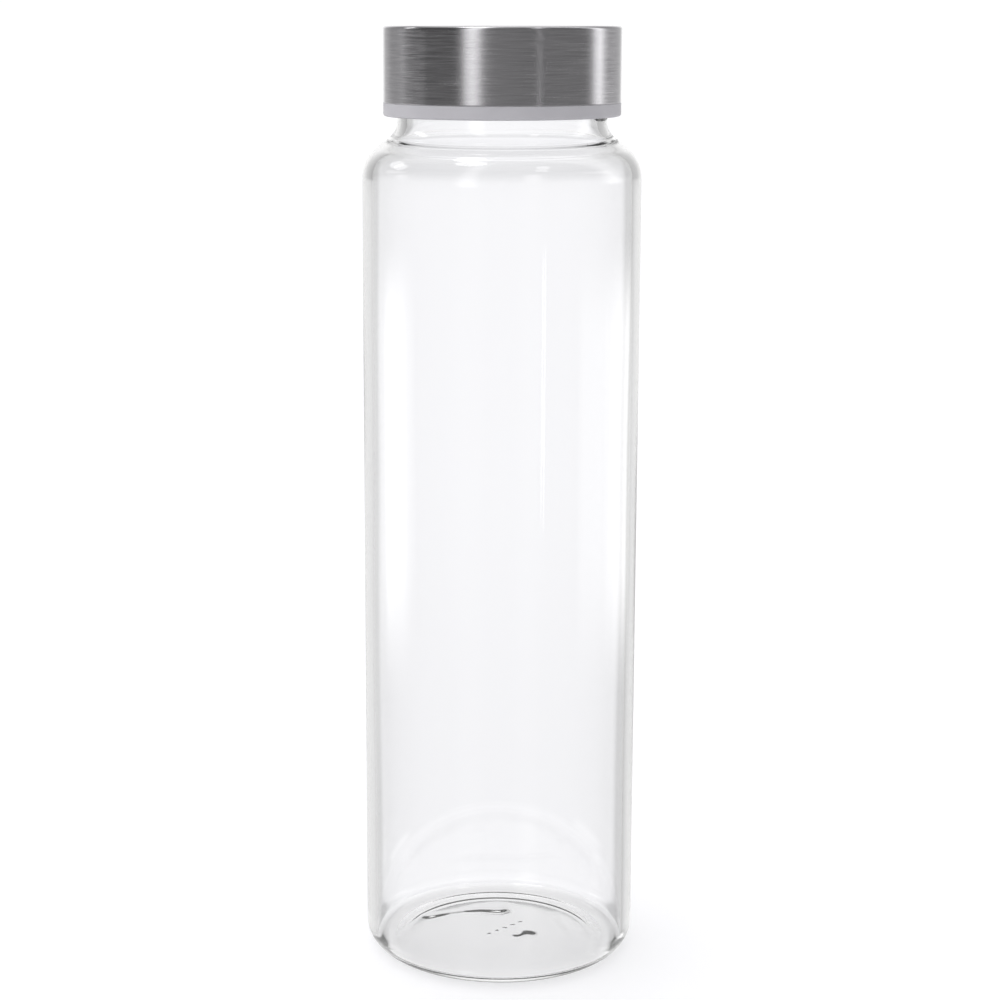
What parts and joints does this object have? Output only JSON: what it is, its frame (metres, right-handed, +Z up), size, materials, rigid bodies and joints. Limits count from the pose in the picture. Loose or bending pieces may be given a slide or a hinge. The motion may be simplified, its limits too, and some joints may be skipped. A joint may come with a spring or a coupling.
{
  "type": "water bottle",
  "caption": "Tall cylindrical clear glass water bottle with a rounded shoulder, threaded neck, and brushed steel screw lid over a translucent plastic core and seal.",
  "frame": {"origin": "centre of the flat ring the bottle stands on, on the bottle's axis", "axes": "+Z up along the bottle's axis to the lid; -Y towards the viewer, +X to the right"},
  "size_m": [0.08, 0.08, 0.2735],
  "materials": {
    "clear_glass": "clear polished borosilicate glass",
    "silicone": "soft milky white silicone",
    "core_plastic": "satin pale grey polypropylene, slightly translucent",
    "brushed_steel": "stainless steel brushed round its side and turned on its top"
  },
  "bodies": {
    "bottle": {"glass_bottle": "clear_glass"},
    "seal": {"seal_ring": "silicone"},
    "lid": {"lid_core": "core_plastic", "lid_cap": "brushed_steel"}
  },
  "joints": [
    {"name": "lid_lift", "type": "slide", "parent": "bottle", "child": "seal", "axis": [0, 0, 1], "range_m": [0, 0.03]},
    {"name": "lid_turn", "type": "hinge", "parent": "seal", "child": "lid", "pos_m": [0, 0, 0.25], "axis": [0, 0, 1], "range_deg": [0, 2160]}
  ],
  "couplings": [
    {"joint": "lid_lift", "follows": "lid_turn", "m_per_rad": 0.00079577}
  ]
}
